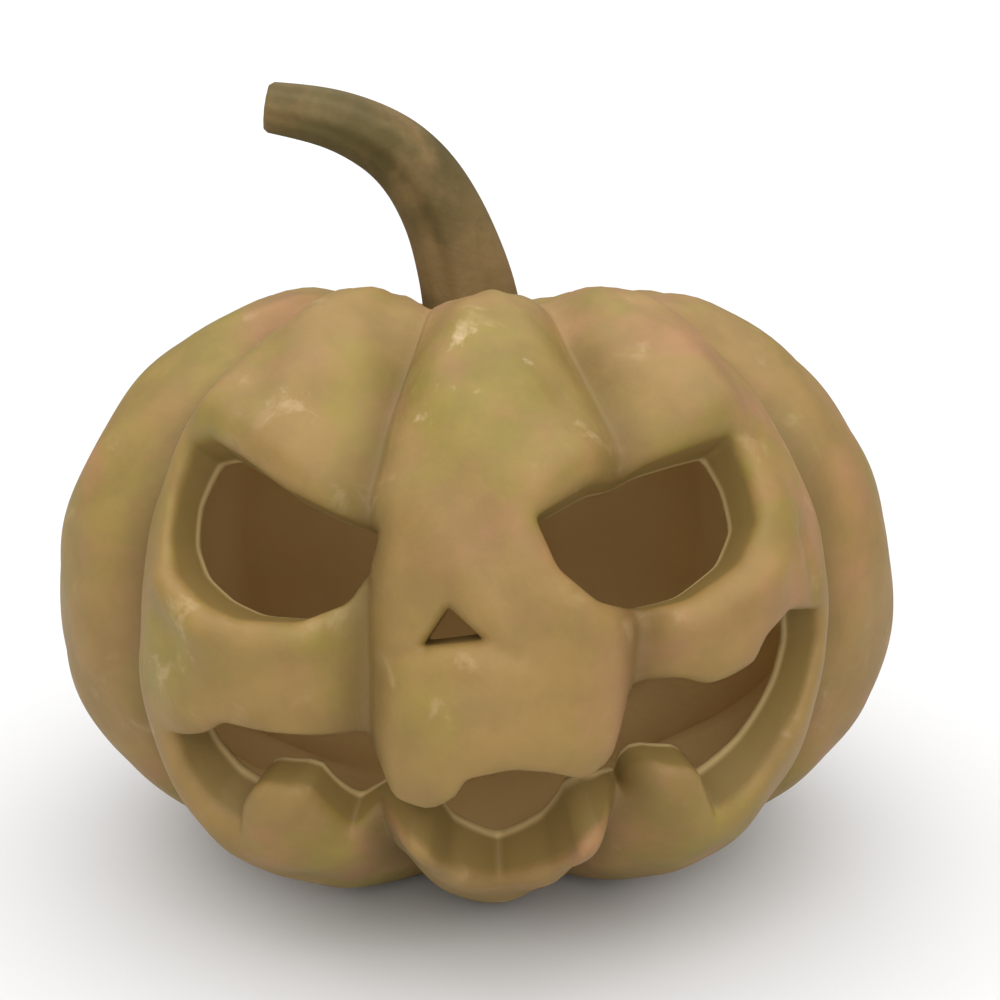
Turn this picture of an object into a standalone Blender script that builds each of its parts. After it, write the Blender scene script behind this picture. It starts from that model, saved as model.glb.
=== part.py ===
"""Carved pumpkin lantern: one hollow, ribbed pumpkin with a scowling face cut through its wall.

Frame: metres, +Z up, the face looks along -Y. The origin is at the bottom centre of its box.
Every skin point is named by an angle round the stem axis, in degrees from the front, positive
towards +X, and by a turn of the side profile, from 0 at the base to pi under the stem.
"""

import bpy
import numpy as np

# Size and side profile of the fruit
RADIUS = 0.140  # stem axis to the crest of a rib
CROWN = 0.1135  # waist to crown
BELLY = 0.0924  # waist to base
WAIST = 0.0904  # height of the widest part
SIDE_LOW = 0.80  # roundness of the lower side, smaller is fuller
SIDE_HIGH = 0.93
TOP_ROUND = 0.95
BASE_ROUND = 0.85
DIMPLE = 0.045  # depth of the hollow that the stem stands in
DIMPLE_WIDTH = 0.039
FRONT_RISE = 0.10  # the crown stands this much higher for each metre towards the face
BOX_CENTRE = (0.0006, -0.0028)  # the stem axis is this far off the middle of the box

# Ribs: the angle of every groove between them, in degrees from the front
GROOVES = (-89, -54, -13, 21, 58, 93.5, 129, 164.5, 200, 235.5, 271)
GROOVE_DEPTH = 0.018
GROOVE_ROUND = 0.004
RIB_FULLNESS = 0.9
TYPICAL_RIB = 36.0

# Wall and hollow
WALL = 0.019
HOLLOW_GROOVES = 0.5  # how much of the groove depth shows inside
HOLLOW_DIMPLE = 1.1  # the roof is thicker under the stem
CUT_OUTSIDE = 0.035  # the knife cuts start this far outside the skin
CUT_INSIDE = 0.036  # and end this far under it

# Face: corners of each cut as (degrees from the front, millimetres up the side profile)
LEFT_EYE = ((-43, 149), (-38, 150.5), (-31, 146), (-24, 139), (-18, 134.5), (-12, 131), (-13.5, 118),
            (-16, 107), (-21, 101), (-28, 101), (-33, 104.5), (-38, 111), (-41.5, 121), (-43.5, 135))
RIGHT_EYE = ((7.5, 132), (16.5, 143), (25, 148.5), (32, 150), (37.5, 151), (38.5, 140), (38, 127),
             (34.5, 116), (28, 106.5), (22, 103.5), (15, 108), (10, 118))
NOSE = ((-2.5, 107.5), (-5.5, 96.5), (1.5, 99))
UPPER_LIP = ((-41, 64), (-34, 68), (-31, 72), (-23, 69.5), (-15, 66), (-12.5, 61), (-9.5, 56), (-4.5, 57),
             (-1.5, 62), (-0.5, 67), (4.5, 69), (8.5, 68), (13, 64), (17, 66), (18.5, 72), (20.5, 79),
             (23.5, 83), (27, 84), (29.5, 82), (33, 84), (36, 86.5), (37.5, 94), (41.5, 100), (48.5, 98))
LOWER_LIP = ((49.5, 87), (47, 74), (41, 55), (34.5, 42), (32, 49), (30, 56.5), (23.5, 56.5), (22, 50), (22, 42),
             (18, 45), (13.5, 50), (12.5, 43), (10.5, 34), (7.5, 29), (4, 24.5), (0.5, 29), (-3, 34), (-4.5, 42),
             (-6, 48), (-12, 41), (-18, 35), (-20, 42), (-22, 53), (-28.5, 53.5), (-31.5, 47), (-33, 40),
             (-37, 44), (-40, 54))
CUT_STEP = 0.005  # spacing of points along a cut
NOSE_STEP = 0.003
UNROLL = 0.135  # radius at which an angle is turned into a length of skin

# Relief of the face, each as (height, reach, its line as degrees and millimetres), in millimetres
RIDGES = ((4.0, 10, ((-40, 157), (-30, 153), (-20, 143), (-13, 138))),  # left brow
          (4.0, 10, ((9, 142), (17, 150), (26, 156), (38, 158))),  # right brow
          (2.5, 6, ((-40, 108), (-33, 99), (-27, 96), (-20, 96))),  # left lower lid
          (2.0, 6, ((11, 108), (21, 98), (29, 101), (38, 112))),  # right lower lid
          (3.0, 10, ((-36, 36), (-28, 33), (-18, 30))))  # left lower lip
JAW_BLOCK = 8.0  # the middle of the upper jaw juts out
CHIN_SPOUT = 4.0

# Stem: centre line and radius as (x, z, radius), in millimetres
STEM = ((0, 150, 22), (-1, 172, 18.5), (-3, 191, 17), (-9, 211.5, 15), (-17, 226, 14), (-27, 236, 12.7),
        (-44, 244, 10.8), (-56, 246.5, 10), (-66, 248, 9.2))
STEM_RINGS = 15
STEM_SIDES = 14
STEM_END = 0.8  # the cut end's rim is this much narrower

# Facets
RIB_COLUMNS = {1: 10, 2: 9, 3: 10}  # the ribs that carry the face are finer
BACK_COLUMNS = 5
ROWS = 34
HOLLOW_COLUMNS = 44
HOLLOW_ROWS = 20

SKIN_COLOUR = (0.352, 0.235, 0.085, 1.0)
MM = 0.001


def ease(value, start, end):
    """Rises smoothly from 0 at start to 1 at end."""
    part = np.clip((value - start) / (end - start), 0, 1)
    return part * part * (3 - 2 * part)


def profile(turn, dimple=DIMPLE):
    """Radius and height of the smooth fruit without ribs, where turn runs from 0 at the base to pi."""
    sine, rise = np.sin(turn), -np.cos(turn)
    fullness = SIDE_LOW + (SIDE_HIGH - SIDE_LOW) * ease(rise, -0.1, 0.55)
    radius = RADIUS * np.abs(sine) ** fullness
    upper = CROWN * np.abs(rise) ** TOP_ROUND - dimple * np.exp(-(radius / DIMPLE_WIDTH) ** 2)
    lower = -BELLY * np.abs(rise) ** BASE_ROUND
    return radius, WAIST + np.where(rise > 0, upper, lower)


def section(dimple=DIMPLE):
    """The profile as a fine table: turn, length along it, radius, height and outward direction."""
    turn = np.linspace(0, np.pi, 2001)
    radius, height = profile(turn, dimple)
    length = np.concatenate([[0], np.cumsum(np.hypot(np.diff(radius), np.diff(height)))])
    along_r, along_z = np.gradient(radius, length), np.gradient(height, length)
    size = np.hypot(along_r, along_z)
    return {"turn": turn, "length": length, "radius": radius, "height": height,
            "out_r": along_z / size, "out_z": -along_r / size}


SKIN = section()
LINING = section(DIMPLE * HOLLOW_DIMPLE)
CROWN_ROW = int(np.argmax(SKIN["height"]))


def turn_at(height):
    """The profile's turn at a height on the side of the fruit, below the crown."""
    return np.interp(height, SKIN["height"][:CROWN_ROW], SKIN["turn"][:CROWN_ROW])


def groove(angle, radius):
    """Depth below the rib crests, from 0 on a crest to about 1 in a groove. A rib is part of an ellipse."""
    edges = np.array(GROOVES, float)
    wrapped = (angle - edges[0]) % 360 + edges[0]
    rib = np.clip(np.searchsorted(edges, wrapped, side="right") - 1, 0, len(edges) - 2)
    width = edges[rib + 1] - edges[rib]
    across = np.abs((wrapped - edges[rib]) / width * 2 - 1)
    half = np.radians(width / 2) * np.maximum(radius, 0.02 * RADIUS)
    from_edge = np.sqrt(((1 - across) * half) ** 2 + GROOVE_ROUND ** 2)
    rounded = np.clip(1 - from_edge / half, 0, 1)
    low = np.sqrt(1 - RIB_FULLNESS ** 2)
    crest = (np.sqrt(1 - (RIB_FULLNESS * rounded) ** 2) - low) / (1 - low)
    return (1 - crest) * np.sqrt(width / TYPICAL_RIB)


def ridge(angle, height, line, reach):
    """A soft ridge along a line, falling to nothing over its reach. Heights are in millimetres."""
    across = np.radians(angle) * UNROLL / MM
    nearest = np.full(np.shape(angle), 1e9)
    for (angle_a, height_a), (angle_b, height_b) in zip(line[:-1], line[1:]):
        start, run = np.radians(angle_a) * UNROLL / MM, np.radians(angle_b - angle_a) * UNROLL / MM
        climb = height_b - height_a
        part = np.clip(((across - start) * run + (height - height_a) * climb) / (run**2 + climb**2), 0, 1)
        nearest = np.minimum(nearest, np.hypot(across - start - part * run, height - height_a - part * climb))
    return np.exp(-(nearest / reach) ** 2)


def relief(angle, turn):
    """How far the carved face stands out from the plain ribs, in metres."""
    height = np.interp(turn, SKIN["turn"], SKIN["height"]) / MM
    middle = ease(-np.abs(angle - 3.5), -19, -12)
    out = JAW_BLOCK * middle * ease(-height, -106, -62) * ease(height, 30, 48)
    spout = ease(-np.abs(angle - 4.5), -16, -8)
    out = out + CHIN_SPOUT * spout * ease(-height, -62, -45) * ease(height, 15, 42)
    for size, reach, line in RIDGES:
        out = out + size * ridge(angle, height, line, reach)
    return out * MM * (turn < turn_at(0.19))


def place(angle, turn, offset, table):
    """World points at an offset along the outward direction of the plain profile."""
    radius = np.interp(turn, table["turn"], table["radius"])
    height = np.interp(turn, table["turn"], table["height"])
    radius = radius + offset * np.interp(turn, table["turn"], table["out_r"])
    height = height + offset * np.interp(turn, table["turn"], table["out_z"])
    x, y = radius * np.sin(np.radians(angle)), -radius * np.cos(np.radians(angle))
    z = height - FRONT_RISE * y * ease(height, 0, 0.11)
    return np.stack([x - BOX_CENTRE[0], y - BOX_CENTRE[1], np.maximum(z, 0)], axis=-1)


def rib_offset(angle, turn):
    """Offset of the ribs from the plain profile. The grooves die out towards both poles."""
    radius = np.interp(turn, SKIN["turn"], SKIN["radius"])
    return -GROOVE_DEPTH * groove(angle, radius) * ease(radius, 0.2 * RADIUS, 0.62 * RADIUS)


def skin(angle, turn):
    """The outside of the fruit, with ribs and face."""
    return place(angle, turn, rib_offset(angle, turn) + relief(angle, turn), SKIN)


def lining(angle, turn):
    """The inside of the wall, a smoother copy of the ribs one wall further in."""
    return place(angle, turn, HOLLOW_GROOVES * rib_offset(angle, turn) - WALL, LINING)


def rows_by_length(table, count):
    """Turns that part the profile into equal lengths, without the two poles."""
    lengths = np.linspace(0, table["length"][-1], count + 1)[1:-1]
    return np.interp(lengths, table["length"], table["turn"])


def rib_angles():
    """Column angles that fall on every groove, evenly spaced between grooves."""
    columns = []
    for rib, (start, end) in enumerate(zip(GROOVES[:-1], GROOVES[1:])):
        columns += list(np.linspace(start, end, RIB_COLUMNS.get(rib, BACK_COLUMNS), endpoint=False))
    return np.array(columns)


def make_object(name, points, faces, smooth=True):
    """A mesh object in the scene from points and faces."""
    mesh = bpy.data.meshes.new(name)
    mesh.from_pydata([tuple(point) for point in points], [], faces)
    mesh.validate()
    if smooth:
        mesh.shade_smooth()
        mesh.set_sharp_from_angle(angle=np.radians(50))
    obj = bpy.data.objects.new(name, mesh)
    bpy.context.scene.collection.objects.link(obj)
    return obj


def closed_rounds(name, rings, bottom, top):
    """A closed body from rings of points stacked from bottom to top, with a point at each pole."""
    count, sides = len(rings), len(rings[0])
    points = [bottom] + [point for ring in rings for point in ring] + [top]
    faces = []
    for ring in range(count - 1):
        low, high = 1 + ring * sides, 1 + (ring + 1) * sides
        for side in range(sides):
            after = (side + 1) % sides
            faces.append((low + side, low + after, high + after, high + side))
    last, tip = 1 + (count - 1) * sides, len(points) - 1
    for side in range(sides):
        after = (side + 1) % sides
        faces.append((0, 1 + after, 1 + side))
        faces.append((last + side, last + after, tip))
    return make_object(name, points, faces)


def fruit(name, surface, table, angles, row_count):
    """A closed body from a surface function of angle and turn."""
    turns = rows_by_length(table, row_count)
    rings = [surface(angles, np.full(len(angles), turn)) for turn in turns]
    poles = [surface(np.zeros(1), np.array([turn]))[0] for turn in (0.0, np.pi)]
    return closed_rounds(name, rings, *poles)


def outline(corners, step):
    """A cut's corners as points (angle, turn) at an even spacing, with the corners worn slightly round."""
    angle = np.radians([corner[0] for corner in corners]) * UNROLL
    height = np.array([corner[1] for corner in corners]) * MM
    length = np.interp(turn_at(height), SKIN["turn"], SKIN["length"])
    line = np.stack([np.append(angle, angle[0]), np.append(length, length[0])], axis=-1)
    run = np.concatenate([[0], np.cumsum(np.hypot(*np.diff(line, axis=0).T))])
    stops = np.linspace(0, run[-1], int(round(run[-1] / step)), endpoint=False)
    even = np.stack([np.interp(stops, run, line[:, 0]), np.interp(stops, run, line[:, 1])], axis=-1)
    worn = 0.8 * even + 0.1 * np.roll(even, 1, axis=0) + 0.1 * np.roll(even, -1, axis=0)
    return np.degrees(worn[:, 0] / UNROLL), np.interp(worn[:, 1], SKIN["length"], SKIN["turn"])


def cutter(name, corners, step):
    """A prism that follows the skin's own outward directions, for cutting one opening."""
    angle, turn = outline(corners, step)
    offsets = (CUT_OUTSIDE, -CUT_INSIDE)
    near, far = (place(angle, turn, np.full(len(angle), offset), SKIN) for offset in offsets)
    count = len(angle)
    faces = [tuple(range(count)), tuple(range(2 * count - 1, count - 1, -1))]
    faces += [(side, side + count, (side + 1) % count + count, (side + 1) % count) for side in range(count)]
    obj = make_object(name, np.concatenate([near, far]), faces, smooth=False)
    turn_faces_out(obj)
    return as_helper(obj)


def turn_faces_out(obj):
    """Triangulates the two end caps evenly and points all faces outwards."""
    import bmesh

    work = bmesh.new()
    work.from_mesh(obj.data)
    caps = [face for face in work.faces if len(face.verts) > 4]
    bmesh.ops.triangulate(work, faces=caps, ngon_method="BEAUTY")
    bmesh.ops.recalc_face_normals(work, faces=work.faces)
    work.to_mesh(obj.data)
    work.free()


def as_helper(obj):
    """Marks an object as a tool for a Boolean, which isn't part of the model."""
    obj.hide_render = True
    obj.display_type = "WIRE"
    return obj


def stem():
    """A round bar that tapers along a curved centre line, with a slightly narrowed blunt end."""
    path = np.array(STEM, float) * MM
    along = np.concatenate([[0], np.cumsum(np.hypot(*np.diff(path[:, :2], axis=0).T))])
    stops = np.linspace(0, along[-1], STEM_RINGS)
    x, z, radius = (np.interp(stops, along, path[:, column]) for column in range(3))
    for values in (x, z, radius):
        values[1:-1] = 0.5 * values[1:-1] + 0.25 * (values[:-2] + values[2:])
    radius[-1] *= STEM_END
    heading = np.arctan2(np.gradient(z), np.gradient(x))
    around = np.linspace(0, 2 * np.pi, STEM_SIDES, endpoint=False)
    rings = []
    for centre_x, centre_z, size, lean in zip(x, z, radius, heading):
        side = size * np.cos(around)
        rings.append(np.stack([centre_x - BOX_CENTRE[0] + side * np.sin(lean),
                               size * np.sin(around) - BOX_CENTRE[1],
                               centre_z - side * np.cos(lean)], axis=-1))
    ends = [(x[end] - BOX_CENTRE[0], -BOX_CENTRE[1], z[end]) for end in (0, -1)]
    return as_helper(closed_rounds("stem", rings, *ends))


def add_boolean(obj, other, operation):
    """Cuts another body from the object, or joins it on."""
    boolean = obj.modifiers.new(other.name, "BOOLEAN")
    boolean.operation = operation
    boolean.object = other
    boolean.solver = "EXACT"


def pumpkin_material():
    """Matt, waxy rind."""
    material = bpy.data.materials.new("pumpkin_rind")
    material.use_nodes = True
    shader = material.node_tree.nodes["Principled BSDF"]
    shader.inputs["Base Color"].default_value = SKIN_COLOUR
    shader.inputs["Roughness"].default_value = 0.6
    shader.inputs["Metallic"].default_value = 0.0
    return material


def build():
    """The whole lantern as one solid."""
    for obj in list(bpy.data.objects):
        bpy.data.objects.remove(obj, do_unlink=True)
    pumpkin = fruit("pumpkin", skin, SKIN, rib_angles(), ROWS)
    pumpkin.data.materials.append(pumpkin_material())
    even = np.linspace(-180, 180, HOLLOW_COLUMNS, endpoint=False)
    add_boolean(pumpkin, as_helper(fruit("hollow", lining, LINING, even, HOLLOW_ROWS)), "DIFFERENCE")
    cuts = (("left_eye", LEFT_EYE, CUT_STEP), ("right_eye", RIGHT_EYE, CUT_STEP),
            ("nose", NOSE, NOSE_STEP), ("mouth", UPPER_LIP + LOWER_LIP, CUT_STEP))
    for name, corners, step in cuts:
        add_boolean(pumpkin, cutter(name, corners, step), "DIFFERENCE")
    add_boolean(pumpkin, stem(), "UNION")


build()
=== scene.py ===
"""Carved pumpkin lantern: the fine surface, its finish, and a plain studio round it.

The lantern is one closed shell. Its skin and its lining are the same grid of angle and profile
length, the grid is trimmed along the knife cuts, and a rounded lip carried along each cut joins
skin to lining. The stem is a fluted profile carried along a curved path.
"""

import bpy
import numpy as np
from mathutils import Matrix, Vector


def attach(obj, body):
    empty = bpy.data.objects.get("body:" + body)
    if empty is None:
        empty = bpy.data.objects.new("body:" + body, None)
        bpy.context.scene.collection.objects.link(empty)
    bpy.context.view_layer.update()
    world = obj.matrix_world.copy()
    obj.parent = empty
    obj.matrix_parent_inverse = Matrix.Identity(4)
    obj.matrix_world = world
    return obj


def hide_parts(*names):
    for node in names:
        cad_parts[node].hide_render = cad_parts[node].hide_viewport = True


MM = 0.001

# Size and side profile of the fruit, in metres
RADIUS = 0.140
CROWN = 0.1135
BELLY = 0.0924
WAIST = 0.0904
SIDE_LOW = 0.80
SIDE_HIGH = 0.93
TOP_ROUND = 0.95
BASE_ROUND = 0.85
DIMPLE = 0.045
DIMPLE_WIDTH = 0.039
FRONT_RISE = 0.10
BOX_CENTRE = (0.0006, -0.0028)

# Ribs
GROOVES = (-89, -54, -13, 21, 58, 93.5, 129, 164.5, 200, 235.5, 271)
GROOVE_DEPTH = 0.018
GROOVE_ROUND = 0.003
RIB_FULLNESS = 0.9
TYPICAL_RIB = 36.0

# Wall and hollow
WALL = 0.019
HOLLOW_GROOVES = 0.5
HOLLOW_DIMPLE = 1.1

# Face: corners of each cut as (degrees from the front, millimetres up the side profile)
LEFT_EYE = ((-43, 149), (-38, 150.5), (-31, 146), (-24, 139), (-18, 134.5), (-12, 131), (-13.5, 118),
            (-16, 107), (-21, 101), (-28, 101), (-33, 104.5), (-38, 111), (-41.5, 121), (-43.5, 135))
RIGHT_EYE = ((7.5, 132), (16.5, 143), (25, 148.5), (32, 150), (37.5, 151), (38.5, 140), (38, 127),
             (34.5, 116), (28, 106.5), (22, 103.5), (15, 108), (10, 118))
NOSE = ((-2.5, 107.5), (-5.5, 96.5), (1.5, 99))
UPPER_LIP = ((-41, 64), (-34, 68), (-31, 72), (-23, 69.5), (-15, 66), (-12.5, 61), (-9.5, 56), (-4.5, 57),
             (-1.5, 62), (-0.5, 67), (4.5, 69), (8.5, 68), (13, 64), (17, 66), (18.5, 72), (20.5, 79),
             (23.5, 83), (27, 84), (29.5, 82), (33, 84), (36, 86.5), (37.5, 94), (41.5, 100), (48.5, 98))
LOWER_LIP = ((49.5, 87), (47, 74), (41, 55), (34.5, 42), (32, 49), (30, 56.5), (23.5, 56.5), (22, 50), (22, 42),
             (18, 45), (13.5, 50), (12.5, 43), (10.5, 34), (7.5, 29), (4, 24.5), (0.5, 29), (-3, 34), (-4.5, 42),
             (-6, 48), (-12, 41), (-18, 35), (-20, 42), (-22, 53), (-28.5, 53.5), (-31.5, 47), (-33, 40),
             (-37, 44), (-40, 54))
CUTS = ((LEFT_EYE, 1.6), (RIGHT_EYE, 1.6), (NOSE, 0.9), (UPPER_LIP + LOWER_LIP, 1.5))  # corners, wear
UNROLL = 0.135
LIP = 0.0026  # the skin's grid stops this far from a cut
LIP_ROUND = 0.0024
LIP_ROWS = 5
WALL_ROWS = 7
EDGE_ROLL = 0.0020  # the skin sinks towards a cut by this much
EDGE_REACH = 0.009

# Relief of the face, each as (height, reach, its line as degrees and millimetres), in millimetres
RIDGES = ((4.0, 10, ((-40, 157), (-30, 153), (-20, 143), (-13, 138))),
          (4.0, 10, ((9, 142), (17, 150), (26, 156), (38, 158))),
          (2.5, 6, ((-40, 108), (-33, 99), (-27, 96), (-20, 96))),
          (2.0, 6, ((11, 108), (21, 98), (29, 101), (38, 112))),
          (3.0, 10, ((-36, 36), (-28, 33), (-18, 30))))
CREASES = ((1.3, 2.2, ((-9, 93), (-5.5, 95.5))),  # beside and above the nose
           (1.3, 2.2, ((1.5, 98.5), (5, 95))),
           (0.9, 2.0, ((-2.5, 108), (-2.8, 114))),
           (0.9, 3.0, ((-5, 87.5), (0.5, 89.5))),
           (1.6, 2.6, ((46, 102), (44.5, 122))),  # above the right corner of the mouth
           (1.4, 1.3, ((38.5, 150.5), (42.5, 149))),  # a slip of the knife at the right eye
           (2.6, 4.0, ((22.5, 97), (23, 100))),
           (2.2, 7.0, ((-53, 92), (-54, 104))))
JAW_BLOCK = 8.0
CHIN_SPOUT = 4.0

# Grid of the shell
FACE_ANGLES = (-62, 66)
FACE_STEP = 0.70
BACK_STEP = 3.0
FACE_HEIGHTS = (0.014, 0.166)
FACE_ROW = 0.0018
OTHER_ROW = 0.0046

# Stem: centre line and radius as (x, z, radius), in millimetres
STEM = ((0, 150, 22), (-1, 172, 18.5), (-3, 191, 17), (-9, 211.5, 15), (-17, 226, 14), (-27, 236, 12.7),
        (-44, 244, 10.8), (-56, 246.5, 10), (-66, 248, 9.2))
STEM_SLIM = 0.87  # keeps the flutes inside the solid stem
STEM_RINGS = 90
STEM_SIDES = 72


# ---------------------------------------------------------------- shape of the fruit

def ease(value, start, end):
    """Rises smoothly from 0 at start to 1 at end: 3t^2 - 2t^3."""
    part = np.clip((value - start) / (end - start), 0, 1)
    return part * part * (3 - 2 * part)


def profile(turn, dimple):
    """Radius and height of the plain fruit: a superellipse, less a bell-shaped dimple at the top."""
    sine, rise = np.sin(turn), -np.cos(turn)
    fullness = SIDE_LOW + (SIDE_HIGH - SIDE_LOW) * ease(rise, -0.1, 0.55)
    radius = RADIUS * np.abs(sine) ** fullness
    upper = CROWN * np.abs(rise) ** TOP_ROUND - dimple * np.exp(-(radius / DIMPLE_WIDTH) ** 2)
    lower = -BELLY * np.abs(rise) ** BASE_ROUND
    return radius, WAIST + np.where(rise > 0, upper, lower)


def section(dimple=DIMPLE):
    """The profile as a table of turn, length along it, radius, height and outward direction."""
    turn = np.linspace(0, np.pi, 2001)
    radius, height = profile(turn, dimple)
    length = np.concatenate([[0], np.cumsum(np.hypot(np.diff(radius), np.diff(height)))])
    along_r, along_z = np.gradient(radius, length), np.gradient(height, length)
    size = np.hypot(along_r, along_z)
    return {"turn": turn, "length": length, "radius": radius, "height": height,
            "out_r": along_z / size, "out_z": -along_r / size}


SKIN = section()
LINING = section(DIMPLE * HOLLOW_DIMPLE)
CROWN_ROW = int(np.argmax(SKIN["height"]))


def length_at(height):
    """Length along the profile at a height on the side, below the crown."""
    return np.interp(height, SKIN["height"][:CROWN_ROW], SKIN["length"][:CROWN_ROW])


def groove(angle, radius):
    """Depth below the rib crests: 0 on a crest, about 1 in a groove. A rib is part of an ellipse."""
    edges = np.array(GROOVES, float)
    wrapped = (angle - edges[0]) % 360 + edges[0]
    rib = np.clip(np.searchsorted(edges, wrapped, side="right") - 1, 0, len(edges) - 2)
    width = edges[rib + 1] - edges[rib]
    across = np.abs((wrapped - edges[rib]) / width * 2 - 1)
    half = np.radians(width / 2) * np.maximum(radius, 0.02 * RADIUS)
    from_edge = np.sqrt(((1 - across) * half) ** 2 + GROOVE_ROUND ** 2)
    rounded = np.clip(1 - from_edge / half, 0, 1)
    low = np.sqrt(1 - RIB_FULLNESS ** 2)
    crest = (np.sqrt(1 - (RIB_FULLNESS * rounded) ** 2) - low) / (1 - low)
    return (1 - crest) * np.sqrt(width / TYPICAL_RIB)


def ridge(angle, height, line, reach):
    """A bell-shaped ridge: exp of minus the squared distance from a line over its reach, in mm."""
    across = np.radians(angle) * UNROLL / MM
    nearest = np.full(np.shape(angle), 1e9)
    for (angle_a, height_a), (angle_b, height_b) in zip(line[:-1], line[1:]):
        start, run = np.radians(angle_a) * UNROLL / MM, np.radians(angle_b - angle_a) * UNROLL / MM
        climb = height_b - height_a
        part = np.clip(((across - start) * run + (height - height_a) * climb) / (run**2 + climb**2), 0, 1)
        nearest = np.minimum(nearest, np.hypot(across - start - part * run, height - height_a - part * climb))
    return np.exp(-(nearest / reach) ** 2)


def relief(angle, length):
    """How far the carved face stands out from the plain ribs, in metres: jaw block, chin and ridges."""
    height = np.interp(length, SKIN["length"], SKIN["height"]) / MM
    out = JAW_BLOCK * ease(-np.abs(angle - 3.5), -19, -12) * ease(-height, -106, -62) * ease(height, 30, 48)
    out = out + CHIN_SPOUT * ease(-np.abs(angle - 4.5), -16, -8) * ease(-height, -62, -45) * ease(height, 15, 42)
    for size, reach, line in RIDGES:
        out = out + size * ridge(angle, height, line, reach)
    for size, reach, line in CREASES:
        out = out - size * ridge(angle, height, line, reach)
    return out * MM * (length < length_at(0.19))


def unevenness(angle, length):
    """Soft lumps of hand size: a sum of slow waves round and up the fruit, in metres."""
    around = np.radians(angle)
    up = length / 0.040
    waves = (np.sin(5 * around + 1.3 * up + 0.7) + np.sin(9 * around - 1.7 * up + 2.1)
             + np.sin(14 * around + 2.3 * up + 4.0) + 0.7 * np.sin(23 * around - 3.9 * up + 1.1)
             + 0.6 * np.sin(31 * around + 5.3 * up + 5.2))
    return 0.00055 * waves


def place(angle, length, offset, table):
    """World points at an offset along the outward direction of the plain profile."""
    turn = np.interp(length, SKIN["length"], SKIN["turn"])
    radius = np.interp(turn, table["turn"], table["radius"])
    height = np.interp(turn, table["turn"], table["height"])
    radius = radius + offset * np.interp(turn, table["turn"], table["out_r"])
    height = height + offset * np.interp(turn, table["turn"], table["out_z"])
    x, y = radius * np.sin(np.radians(angle)), -radius * np.cos(np.radians(angle))
    z = height - FRONT_RISE * y * ease(height, 0, 0.11)
    return np.stack([x - BOX_CENTRE[0], y - BOX_CENTRE[1], np.maximum(z, 0)], axis=-1)


def rib_offset(angle, length):
    """Offset of the ribs from the plain profile. The grooves die out towards both poles."""
    radius = np.interp(length, SKIN["length"], SKIN["radius"])
    return -GROOVE_DEPTH * groove(angle, radius) * ease(radius, 0.2 * RADIUS, 0.62 * RADIUS)


def skin_offset(angle, length, from_cut):
    """Offset of the outer skin: ribs, face relief, lumps, and an edge that rolls in towards a cut."""
    roll = EDGE_ROLL * np.clip(1 - from_cut / EDGE_REACH, 0, 1) ** 2
    calm = ease(np.interp(length, SKIN["length"], SKIN["height"]), 0.004, 0.02)
    return rib_offset(angle, length) + relief(angle, length) + (unevenness(angle, length) - 0.0016) * calm - roll


def lining_offset(angle, length):
    """Offset of the inner surface, a smoother copy of the ribs one wall further in."""
    return HOLLOW_GROOVES * rib_offset(angle, length) - WALL


# ---------------------------------------------------------------- knife cuts

def cut_line(corners, wear):
    """A closed cut as skin lengths (round, up) every millimetre, its corners worn by a moving average."""
    line = np.stack([np.radians([c[0] for c in corners]) * UNROLL,
                     length_at(np.array([c[1] for c in corners]) * MM)], axis=-1)
    line = np.concatenate([line, line[:1]])
    run = np.concatenate([[0], np.cumsum(np.hypot(*np.diff(line, axis=0).T))])
    stops = np.linspace(0, run[-1], int(run[-1] / MM), endpoint=False)
    even = np.stack([np.interp(stops, run, line[:, 0]), np.interp(stops, run, line[:, 1])], axis=-1)
    shifts = np.arange(-6, 7)
    weights = np.exp(-0.5 * (shifts / wear) ** 2)
    return sum(w * np.roll(even, -s, axis=0) for s, w in zip(shifts, weights / weights.sum()))


def signed_gap(points, line):
    """Distance from a closed line, negative inside it, and the nearest point of the line."""
    start, run = line, np.roll(line, -1, axis=0) - line
    away = points[:, None, :] - start[None]
    part = np.clip((away * run).sum(-1) / (run**2).sum(-1), 0, 1)
    near = start + part[..., None] * run
    gap = np.hypot(*np.moveaxis(points[:, None, :] - near, -1, 0))
    best = gap.argmin(axis=1)
    rows = np.arange(len(points))
    end = start + run
    spans = (start[None, :, 1] > points[:, None, 1]) != (end[None, :, 1] > points[:, None, 1])
    rise = np.where(run[:, 1] == 0, 1e-12, run[:, 1])
    hit = points[:, None, 0] < start[:, 0] + (points[:, None, 1] - start[:, 1]) * run[:, 0] / rise
    inside = (spans & hit).sum(axis=1) % 2 == 1
    return np.where(inside, -1, 1) * gap[rows, best], near[rows, best]


LINES = [cut_line(corners, wear) for corners, wear in CUTS]


def cut_gap(points):
    """Distance of skin points from the nearest cut, negative in the opening, and that nearest point."""
    gap = np.full(len(points), 1.0)
    near = points.copy()
    for line in LINES:
        low, high = line.min(axis=0) - 0.015, line.max(axis=0) + 0.015
        close = np.where(((points > low) & (points < high)).all(axis=1))[0]
        for part in np.array_split(close, max(1, len(close) // 2000)):
            found, where = signed_gap(points[part], line)
            better = found < gap[part]
            gap[part[better]], near[part[better]] = found[better], where[better]
    return gap, near


# ---------------------------------------------------------------- shell

def stops(start, end, step):
    """Evenly spaced values from start up to, but without, end."""
    return np.linspace(start, end, int(round((end - start) / step)), endpoint=False)


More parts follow.
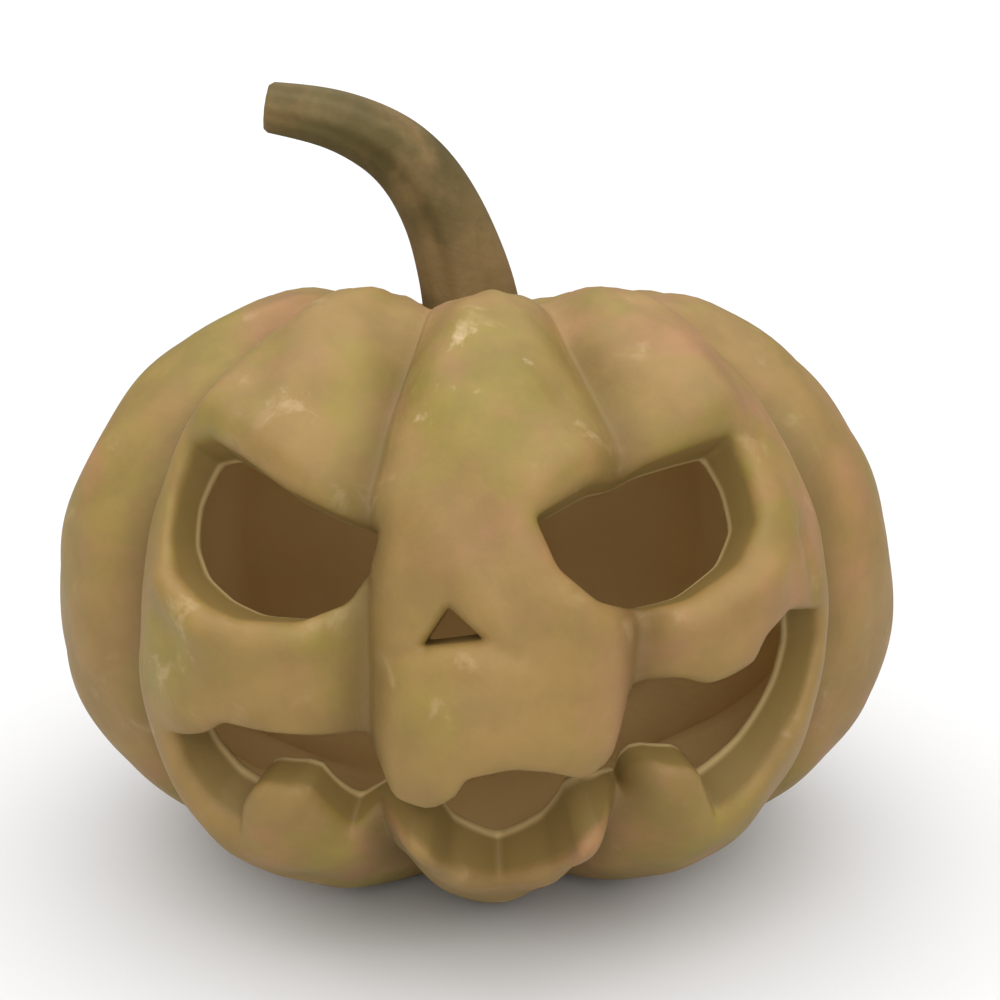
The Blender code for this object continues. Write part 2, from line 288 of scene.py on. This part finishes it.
def grid_lines():
    """Column angles and row lengths of the grid, close together on the face and wide elsewhere."""
    first, last = FACE_ANGLES
    angles = np.concatenate([stops(first, last, FACE_STEP), stops(last, first + 360, BACK_STEP)])
    angles = np.where(angles > 180, angles - 360, angles)
    low, high = (length_at(height) for height in FACE_HEIGHTS)
    total = SKIN["length"][-1]
    lengths = np.concatenate([stops(0, low, OTHER_ROW)[1:], stops(low, high, FACE_ROW),
                              stops(high, total, OTHER_ROW)])
    return angles, lengths


def trimmed_grid():
    """Grid points, the faces that stay, and each point's gap to the nearest cut.

    Where a grid edge crosses the trim line, its nearer end moves onto the line, so no edge
    crosses any more. Quads with every corner kept stay, and a quad cut corner to corner leaves
    a triangle.
    """
    angles, lengths = grid_lines()
    rows, columns = len(lengths), len(angles)
    across, up = np.meshgrid(np.radians(angles) * UNROLL, lengths)
    points = np.stack([across.ravel(), up.ravel()], axis=-1)
    gap, near = cut_gap(points)
    room = (gap - LIP).reshape(rows, columns)
    moved = np.zeros((rows, columns), bool)
    for other, axis in ((np.roll(room, -1, axis=1), 1), (np.vstack([room[1:], room[-1:]]), 0)):
        crosses = room * other < 0
        own_end = crosses & (np.abs(room) <= np.abs(other))
        far_end = crosses & ~own_end
        moved |= own_end | np.roll(far_end, 1, axis=axis)
    flat = moved.ravel()
    push = (points[flat] - near[flat]) / gap[flat][:, None]
    points[flat] = near[flat] + LIP * push
    state = np.where(flat, 0, np.sign(room.ravel())).astype(int)
    index = np.arange(rows * columns).reshape(rows, columns)
    right = np.roll(index, -1, axis=1)
    quads = np.stack([index[:-1], right[:-1], right[1:], index[1:]], axis=-1).reshape(-1, 4)
    corner = state[quads]
    whole = (corner >= 0).all(axis=1) & ((corner > 0).any(axis=1) | (room.ravel()[quads].mean(axis=1) > 0))
    halved = (corner < 0).any(axis=1) & (corner > 0).any(axis=1)
    spot = corner[halved].argmax(axis=1)
    turned = np.stack([quads[halved][np.arange(len(spot)), (spot + step) % 4] for step in (3, 0, 1)], axis=-1)
    return points, quads[whole], turned, rows, columns


def border_edges(faces):
    """Directed edges that only one face uses."""
    edges = np.concatenate([np.stack([f, np.roll(f, -1, axis=1)], axis=-1).reshape(-1, 2) for f in faces])
    count = edges.max() + 1
    ahead, back = edges[:, 0] * count + edges[:, 1], edges[:, 1] * count + edges[:, 0]
    return edges[~np.isin(ahead, back)]


def lip_rows(points, near):
    """Rows of points from the skin's border round the lip, through the wall and out on the lining.

    On the skin a row's distance to the cut goes down as the sine of an angle and its depth
    goes up as one minus the cosine, a quarter circle, and the lining side mirrors it.
    """

    def angle_of(flat):
        return np.degrees(flat[:, 0] / UNROLL)

    rows = []
    swing = np.linspace(0, np.pi / 2, LIP_ROWS + 1)[1:]
    for part in swing:
        away = 1 - np.sin(part)
        here = near + (points - near) * away
        depth = LIP_ROUND * (1 - np.cos(part))
        start = skin_offset(angle_of(here), here[:, 1], np.full(len(here), LIP * away))
        rows.append((here, start - depth, 0.55 * part / (np.pi / 2)))
    outer_end = rows[-1][1]
    inner_end = lining_offset(angle_of(near), near[:, 1]) + LIP_ROUND
    for part in np.linspace(0, 1, WALL_ROWS + 1)[1:-1]:
        rows.append((near, outer_end + (inner_end - outer_end) * part, 1.0 + 0.3 * part))
    for part in swing[::-1]:
        away = 1 - np.sin(part)
        here = near + (points - near) * away
        depth = LIP_ROUND * (1 - np.cos(part))
        rows.append((here, lining_offset(angle_of(here), here[:, 1]) + depth, 1.5))
    return rows


def shell_mesh():
    """All points, faces and cut shade (0 skin, 1 cut wall, 2 lining) of the carved fruit."""
    grid, quads, corners, rows, columns = trimmed_grid()
    edges = border_edges([quads, corners])
    ring_low = edges[(edges < columns).all(axis=1)]
    ring_high = edges[(edges >= (rows - 1) * columns).all(axis=1)]
    openings = edges[~((edges < columns).all(axis=1) | (edges >= (rows - 1) * columns).all(axis=1))]
    gap, near = cut_gap(grid)
    angle = np.degrees(grid[:, 0] / UNROLL)
    count = len(grid)
    outer = place(angle, grid[:, 1], skin_offset(angle, grid[:, 1], np.maximum(gap, 0)), SKIN)
    inner = place(angle, grid[:, 1], lining_offset(angle, grid[:, 1]), LINING)
    border = np.unique(openings)
    _, border_near = cut_gap(grid[border])
    strips = lip_rows(grid[border], border_near)
    blocks, shades = [outer], [np.zeros(count)]
    for here, offset, shade in strips:
        at = np.degrees(here[:, 0] / UNROLL)
        blocks.append(place(at, here[:, 1], offset, SKIN))
        shades.append(np.full(len(here), shade))
    blocks.append(inner)
    shades.append(np.full(count, 2.0))
    total = SKIN["length"][-1]
    poles = [place(np.zeros(1), np.array([end]), offset, table)
             for end, offset, table in ((0.0, 0.0, SKIN), (total, 0.0, SKIN),
                                        (0.0, -WALL, LINING), (total, -WALL, LINING))]
    blocks.append(np.concatenate(poles))
    shades.append(np.array([0, 0, 2.0, 2.0]))
    points, shade = np.concatenate(blocks), np.concatenate(shades)
    lookup = np.full(count, -1)
    lookup[border] = np.arange(len(border))
    strip_start = count + np.arange(len(strips)) * len(border)
    inner_start = count + len(strips) * len(border)
    levels = [openings] + [lookup[openings] + start for start in strip_start] + [openings + inner_start]
    strip_quads = np.concatenate([np.stack([b[:, 1], b[:, 0], n[:, 0], n[:, 1]], axis=-1)
                                  for b, n in zip(levels[:-1], levels[1:])])
    first_pole = inner_start + count
    fans = [np.stack([ring[:, 1], ring[:, 0], np.full(len(ring), first_pole + pole)], axis=-1)
            for pole, ring in enumerate((ring_low, ring_high))]
    inner_fans = [np.stack([ring[:, 0], ring[:, 1], np.full(len(ring), first_pole + 2 + pole)], axis=-1)
                  + np.array([inner_start, inner_start, 0]) for pole, ring in enumerate((ring_low, ring_high))]
    four = np.concatenate([quads, strip_quads, quads[:, ::-1] + inner_start])
    three = np.concatenate([corners] + fans + [corners[:, ::-1] + inner_start] + inner_fans)
    return points, four, three, shade


def make_piece(name, points, four, three, shades):
    """A smooth mesh object from points, quads and triangles, without unused points."""
    used = np.unique(np.concatenate([four.ravel(), three.ravel()]))
    lookup = np.full(len(points), -1)
    lookup[used] = np.arange(len(used))
    four, three = lookup[four], lookup[three]
    mesh = bpy.data.meshes.new(name)
    mesh.vertices.add(len(used))
    mesh.vertices.foreach_set("co", points[used].astype(np.float32).ravel())
    loops = np.concatenate([four.ravel(), three.ravel()])
    starts = np.concatenate([np.arange(len(four)) * 4, len(four) * 4 + np.arange(len(three)) * 3])
    mesh.loops.add(len(loops))
    mesh.loops.foreach_set("vertex_index", loops.astype(np.int32))
    mesh.polygons.add(len(starts))
    mesh.polygons.foreach_set("loop_start", starts.astype(np.int32))
    mesh.update(calc_edges=True)
    for key, values in shades.items():
        mesh.attributes.new(key, "FLOAT", "POINT").data.foreach_set("value", values[used].astype(np.float32))
    mesh.shade_smooth()
    mesh.validate()
    obj = bpy.data.objects.new(name, mesh)
    bpy.context.scene.collection.objects.link(obj)
    return obj


# ---------------------------------------------------------------- stem

def stem_mesh():
    """A fluted round carried along the centre line: radius times one plus a five-lobed wave.

    The waves fade towards the tip, the foot flares into the dimple, and the last rings close
    over a blunt end with a pucker in its middle.
    """
    path = np.array(STEM, float) * MM
    along = np.concatenate([[0], np.cumsum(np.hypot(*np.diff(path[:, :2], axis=0).T))])
    ring_along = np.linspace(0, along[-1], STEM_RINGS)
    weights = np.exp(-0.5 * (np.arange(-12, 13) / 4.5) ** 2)
    weights /= weights.sum()
    smooth = []
    for column in range(3):
        values = np.interp(ring_along, along, path[:, column])
        padded = np.concatenate([2 * values[0] - values[12:0:-1], values, 2 * values[-1] - values[-2:-14:-1]])
        smooth.append(np.convolve(padded, weights, mode="valid"))
    x, z, radius = smooth
    part = ring_along / along[-1]
    heading = np.arctan2(np.gradient(z), np.gradient(x))
    cap = np.linspace(0, 1, 12)[1:]
    tip = radius[-1]
    cap_radius = tip * np.where(cap < 0.5, 1 - 0.14 * np.sin(np.pi * cap) ** 2, 2 * 0.86 * (1 - cap))
    cap_reach = tip * (0.16 * ease(cap, 0, 0.45) - 0.16 * ease(cap, 0.55, 1.0))
    x = np.concatenate([x, x[-1] + cap_reach * np.cos(heading[-1])])
    z = np.concatenate([z, z[-1] + cap_reach * np.sin(heading[-1])])
    radius = np.concatenate([radius, np.maximum(cap_radius, 0.0002)])
    heading = np.concatenate([heading, np.full(len(cap), heading[-1])])
    part = np.concatenate([part, np.ones(len(cap))])
    around = np.linspace(0, 2 * np.pi, STEM_SIDES, endpoint=False)
    turn, row = np.meshgrid(around, np.arange(len(x)))
    share = part[row]
    flutes = (0.050 * (1 - 0.6 * share) * np.cos(5 * turn + 0.5 + 0.9 * share)
              + 0.018 * np.cos(11 * turn - 2.0 * share + 1.0) + 0.02 * np.sin(3 * turn + 9 * share))
    size = radius[row] * (STEM_SLIM + flutes)
    side, out = size * np.cos(turn), size * np.sin(turn)
    lean = heading[row]
    points = np.stack([x[row] + side * np.sin(lean) - BOX_CENTRE[0], out - BOX_CENTRE[1],
                       z[row] - side * np.cos(lean)], axis=-1).reshape(-1, 3)
    rings = len(x)
    index = np.arange(rings * STEM_SIDES).reshape(rings, STEM_SIDES)
    right = np.roll(index, -1, axis=1)
    quads = np.stack([index[:-1], right[:-1], right[1:], index[1:]], axis=-1).reshape(-1, 4)
    ends = np.array([[x[0] - BOX_CENTRE[0], -BOX_CENTRE[1], z[0]], [x[-1] - BOX_CENTRE[0], -BOX_CENTRE[1], z[-1]]])
    foot, top = len(points), len(points) + 1
    fans = np.concatenate([np.stack([right[0], index[0], np.full(STEM_SIDES, foot)], axis=-1),
                           np.stack([index[-1], right[-1], np.full(STEM_SIDES, top)], axis=-1)])
    share = np.concatenate([share.ravel(), [0, 1]])
    return np.concatenate([points, ends]), quads, fans, share


# ---------------------------------------------------------------- finishes

def link(tree, source, target):
    tree.links.new(source, target)


def node(tree, kind, **inputs):
    """A shader node with some of its input sockets set or linked, by name or number."""
    made = tree.nodes.new(kind)
    for name, value in inputs.items():
        socket = made.inputs[int(name[1:]) if name[0] == "_" and name[1:].isdigit() else name.replace("_", " ")]
        if isinstance(value, bpy.types.NodeSocket):
            tree.links.new(value, socket)
        else:
            socket.default_value = value
    return made


def mix_colour(tree, factor, first, second, blend="MIX"):
    made = tree.nodes.new("ShaderNodeMix")
    made.data_type = "RGBA"
    made.blend_type = blend
    for socket, value in ((made.inputs[0], factor), (made.inputs[6], first), (made.inputs[7], second)):
        if isinstance(value, bpy.types.NodeSocket):
            tree.links.new(value, socket)
        else:
            socket.default_value = value
    return made.outputs[2]


def span(tree, value, low, high, to_low=0.0, to_high=1.0):
    """The value carried from one range to another, smoothly and held at both ends."""
    made = tree.nodes.new("ShaderNodeMapRange")
    made.interpolation_type = "SMOOTHSTEP"
    tree.links.new(value, made.inputs["Value"])
    for name, number in (("From Min", low), ("From Max", high), ("To Min", to_low), ("To Max", to_high)):
        made.inputs[name].default_value = number
    return made.outputs[0]


def noise(tree, vector, scale, detail=3.0, roughness=0.55, distortion=0.0):
    made = node(tree, "ShaderNodeTexNoise", Vector=vector, Scale=scale, Detail=detail,
                Roughness=roughness, Distortion=distortion)
    return made.outputs["Fac"]


def moved(tree, vector, offset, scale=(1, 1, 1)):
    made = node(tree, "ShaderNodeMapping", Vector=vector, Location=offset, Scale=scale)
    return made.outputs[0]


def times(tree, first, second, operation="MULTIPLY"):
    made = tree.nodes.new("ShaderNodeMath")
    made.operation = operation
    for socket, value in zip(made.inputs, (first, second)):
        if isinstance(value, bpy.types.NodeSocket):
            tree.links.new(value, socket)
        else:
            socket.default_value = value
    return made.outputs[0]


def blotch_group():
    """Soft patches of a second and a third colour over a ground colour, with pale flecks.

    Each patch is a slow noise, held between two levels. Ground, Patch A, Patch B and Fleck are
    colours; Fleck Amount says how many flecks show.
    """
    group = bpy.data.node_groups.new("mottled_rind", "ShaderNodeTree")
    face = group.interface
    for name, kind in (("Ground", "NodeSocketColor"), ("Patch A", "NodeSocketColor"),
                       ("Patch B", "NodeSocketColor"), ("Fleck", "NodeSocketColor"),
                       ("Scale", "NodeSocketFloat"), ("Fleck Amount", "NodeSocketFloat")):
        face.new_socket(name, in_out="INPUT", socket_type=kind)
    face.new_socket("Color", in_out="OUTPUT", socket_type="NodeSocketColor")
    face.new_socket("Height", in_out="OUTPUT", socket_type="NodeSocketFloat")
    into, out = group.nodes.new("NodeGroupInput"), group.nodes.new("NodeGroupOutput")
    where = group.nodes.new("ShaderNodeTexCoord").outputs["Object"]
    scaled = node(group, "ShaderNodeVectorMath", _0=where)
    scaled.operation = "SCALE"
    link(group, into.outputs["Scale"], scaled.inputs["Scale"])
    at = scaled.outputs[0]
    patch_a = span(group, noise(group, moved(group, at, (3.1, 0.4, 7.7)), 17.0, 4.0, 0.6, 0.3), 0.46, 0.66)
    patch_b = span(group, noise(group, moved(group, at, (8.3, 5.2, 1.9)), 21.0, 4.0, 0.6, 0.3), 0.48, 0.68)
    shade = noise(group, moved(group, at, (1.7, 9.1, 4.3)), 55.0, 5.0, 0.6)
    small = noise(group, moved(group, at, (2.2, 6.6, 0.8)), 75.0, 4.0, 0.6, 0.4)
    cluster = span(group, noise(group, moved(group, at, (5.5, 2.1, 3.3)), 26.0, 2.0), 0.44, 0.62)
    flecks = times(group, times(group, span(group, small, 0.56, 0.70), cluster), into.outputs["Fleck Amount"])
    colour = mix_colour(group, patch_a, into.outputs["Ground"], into.outputs["Patch A"])
    colour = mix_colour(group, times(group, patch_b, 0.8), colour, into.outputs["Patch B"])
    colour = mix_colour(group, flecks, colour, into.outputs["Fleck"])
    tone = span(group, shade, 0.3, 0.7, 0.90, 1.08)
    bright = node(group, "ShaderNodeVectorMath", _0=colour)
    bright.operation = "SCALE"
    link(group, tone, bright.inputs["Scale"])
    link(group, bright.outputs[0], out.inputs["Color"])
    pores = noise(group, moved(group, at, (4.0, 4.0, 9.0)), 260.0, 4.0, 0.6)
    height = times(group, times(group, shade, 0.7), times(group, pores, 0.3), "ADD")
    link(group, height, out.inputs["Height"])
    return group


def matte(name, roughness, specular):
    """An empty material with a Principled shader of the given fixed finish."""
    material = bpy.data.materials.new(name)
    material.use_nodes = True
    shader = material.node_tree.nodes["Principled BSDF"]
    shader.inputs["Roughness"].default_value = roughness
    shader.inputs["Specular IOR Level"].default_value = specular
    return material, material.node_tree, shader


def mottled(tree, group, ground, patch_a, patch_b, fleck, scale=1.0, amount=1.0):
    made = tree.nodes.new("ShaderNodeGroup")
    made.node_tree = group
    for name, value in (("Ground", ground), ("Patch A", patch_a), ("Patch B", patch_b), ("Fleck", fleck),
                        ("Scale", scale), ("Fleck Amount", amount)):
        if isinstance(value, bpy.types.NodeSocket):
            tree.links.new(value, made.inputs[name])
        else:
            made.inputs[name].default_value = value
    return made


def relief_bump(tree, shader, height, distance, strength=1.0):
    bump = node(tree, "ShaderNodeBump", Height=height, Strength=strength, Distance=distance)
    link(tree, bump.outputs[0], shader.inputs["Normal"])


RIND = (0.245, 0.150, 0.042, 1.0)
RIND_GREEN = (0.225, 0.163, 0.030, 1.0)
RIND_PINK = (0.300, 0.150, 0.064, 1.0)
RIND_PALE = (0.470, 0.335, 0.185, 1.0)
# painted shade: dark brown laid into the grooves where shade falls
PAINTED_GROOVE_SHADE = (0.110, 0.066, 0.018, 1.0)
CUT_FLESH = (0.200, 0.130, 0.036, 1.0)
# the pale inside flesh, made paler still as painted light standing in for light in the dim hollow
PALE_INSIDE_AND_PAINTED_LIGHT = (0.800, 0.600, 0.290, 1.0)
STEM_FOOT = (0.180, 0.112, 0.040, 1.0)
STEM_MID = (0.082, 0.058, 0.014, 1.0)
STEM_TIP = (0.105, 0.080, 0.026, 1.0)


def rind_material(group):
    """Waxy ochre rind with painted shade darkening the grooves, turning to cut flesh and to a pale inside that is
    also painted lighter to stand in for light in the hollow.
    """
    material, tree, shader = matte("rind", 0.58, 0.35)
    cut = node(tree, "ShaderNodeAttribute")
    cut.attribute_name = "cut"
    groove_shade_mask = node(tree, "ShaderNodeAttribute")
    groove_shade_mask.attribute_name = "groove_shade_mask"
    frost = node(tree, "ShaderNodeAttribute")
    frost.attribute_name = "frost"
    patches = mottled(tree, group, RIND, RIND_GREEN, RIND_PINK, RIND_PALE, 1.0, frost.outputs["Fac"])
    # painted shade: the rind darkens towards the bottom of each groove
    painted_shade_amount = times(tree, span(tree, groove_shade_mask.outputs["Fac"], 0.35, 1.0), 0.75)
    colour = mix_colour(tree, painted_shade_amount, patches.outputs["Color"], PAINTED_GROOVE_SHADE)
    colour = mix_colour(tree, span(tree, cut.outputs["Fac"], 0.4, 1.1), colour, CUT_FLESH)
    # the pale lining, partly the flesh's own colour and partly painted light
    colour = mix_colour(tree, span(tree, cut.outputs["Fac"], 1.25, 1.8), colour, PALE_INSIDE_AND_PAINTED_LIGHT)
    link(tree, colour, shader.inputs["Base Color"])
    relief_bump(tree, shader, patches.outputs["Height"], 0.0009, 0.6)
    return material


def stem_material(group):
    """Dry olive-brown stem, warmer at its foot and greyer at its tip, with soft mottled patches and fine bumps."""
    material, tree, shader = matte("stem", 0.68, 0.25)
    share = node(tree, "ShaderNodeAttribute")
    share.attribute_name = "share"
    low = mix_colour(tree, span(tree, share.outputs["Fac"], 0.35, 0.62), STEM_FOOT, STEM_MID)
    ground = mix_colour(tree, span(tree, share.outputs["Fac"], 0.62, 0.92), low, STEM_TIP)
    patches = mottled(tree, group, ground, STEM_MID, STEM_FOOT, STEM_TIP, 1.3, 0.6)
    link(tree, patches.outputs["Color"], shader.inputs["Base Color"])
    relief_bump(tree, shader, patches.outputs["Height"], 0.0012, 0.7)
    return material


# ---------------------------------------------------------------- build

def fruit_piece(group):
    """The carved shell with its shading attributes."""
    points, four, three, cut = shell_mesh()
    angle = np.degrees(np.arctan2(points[:, 0] + BOX_CENTRE[0], -(points[:, 1] + BOX_CENTRE[1])))
    radius = np.hypot(points[:, 0], points[:, 1])
    # groove depth, which paints shade into the grooves
    groove_shade_mask = groove(angle, radius) * ease(radius, 0.2 * RADIUS, 0.62 * RADIUS)
    middle = np.exp(-((angle - 3) / 24) ** 2 - ((points[:, 2] - 0.175) / 0.032) ** 2)
    frost = 0.25 + 0.75 * middle + 0.35 * np.exp(-((angle + 44) / 7) ** 2 - ((points[:, 2] - 0.105) / 0.012) ** 2)
    piece = make_piece("carved_fruit", points, four, three, {"cut": cut, "groove_shade_mask": groove_shade_mask, "frost": frost})
    piece.data.materials.append(rind_material(group))
    return piece


def stem_piece(group):
    points, four, three, share = stem_mesh()
    piece = make_piece("stem", points, four, three, {"share": share})
    piece.data.materials.append(stem_material(group))
    return piece


def studio():
    """A wide pale floor under a broad overhead light, a weak even sky that looks white, and a soft front light."""
    world = bpy.data.worlds.new("studio")
    bpy.context.scene.world = world
    world.use_nodes = True
    sky = world.node_tree.nodes["Background"]
    seen = world.node_tree.nodes.new("ShaderNodeLightPath")
    strength = world.node_tree.nodes.new("ShaderNodeMapRange")
    strength.inputs["To Min"].default_value = 0.36
    strength.inputs["To Max"].default_value = 1.1
    world.node_tree.links.new(seen.outputs["Is Camera Ray"], strength.inputs["Value"])
    world.node_tree.links.new(strength.outputs["Result"], sky.inputs["Strength"])
    sky.inputs["Color"].default_value = (1, 1, 1, 1)
    size = 12.0
    corners = [(-size, -size, 0), (size, -size, 0), (size, size, 0), (-size, size, 0)]
    mesh = bpy.data.meshes.new("floor")
    mesh.from_pydata(corners, [], [(0, 1, 2, 3)])
    floor = bpy.data.objects.new("floor", mesh)
    bpy.context.scene.collection.objects.link(floor)
    material, _, shader = matte("floor", 0.9, 0.0)
    shader.inputs["Base Color"].default_value = (0.66, 0.66, 0.66, 1)
    mesh.materials.append(material)
    overhead = bpy.data.lights.new("overhead", "SUN")
    overhead.angle = 1.92
    overhead.energy = 3.9
    front = bpy.data.lights.new("soft_front", "AREA")
    front.shape = "DISK"
    front.size = 0.9
    front.energy = 5.0
    for lamp, spot in ((overhead, (0.0, -0.35, 2.0)), (front, (0.1, -1.4, 0.62))):
        light = bpy.data.objects.new(lamp.name, lamp)
        light.location = spot
        light.rotation_euler = (Vector((0, 0, 0.1)) - light.location).to_track_quat("-Z", "Y").to_euler()
        bpy.context.scene.collection.objects.link(light)


def camera():
    """A 57.6 mm lens a little above the fruit, looking 13 degrees down."""
    lens = bpy.data.cameras.new("camera")
    lens.lens = 57.6
    lens.sensor_width = 36.0
    eye = bpy.data.objects.new("camera", lens)
    eye.location = (0.0071, -0.5292, 0.2408)
    eye.rotation_euler = (np.radians(77.0), 0, 0)
    bpy.context.scene.collection.objects.link(eye)
    bpy.context.scene.camera = eye


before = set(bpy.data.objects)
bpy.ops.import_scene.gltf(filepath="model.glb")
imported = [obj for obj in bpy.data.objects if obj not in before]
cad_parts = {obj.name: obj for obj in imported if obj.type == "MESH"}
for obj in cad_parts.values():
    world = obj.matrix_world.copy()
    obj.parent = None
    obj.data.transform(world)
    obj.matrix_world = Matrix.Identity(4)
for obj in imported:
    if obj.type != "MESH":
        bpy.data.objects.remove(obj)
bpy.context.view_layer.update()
bpy.context.scene.view_settings.view_transform = "Standard"
mottle = blotch_group()
fruit = fruit_piece(mottle)
stem = stem_piece(mottle)
for piece in (fruit, stem):
    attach(piece, "root")
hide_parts("pumpkin")
studio()
camera()
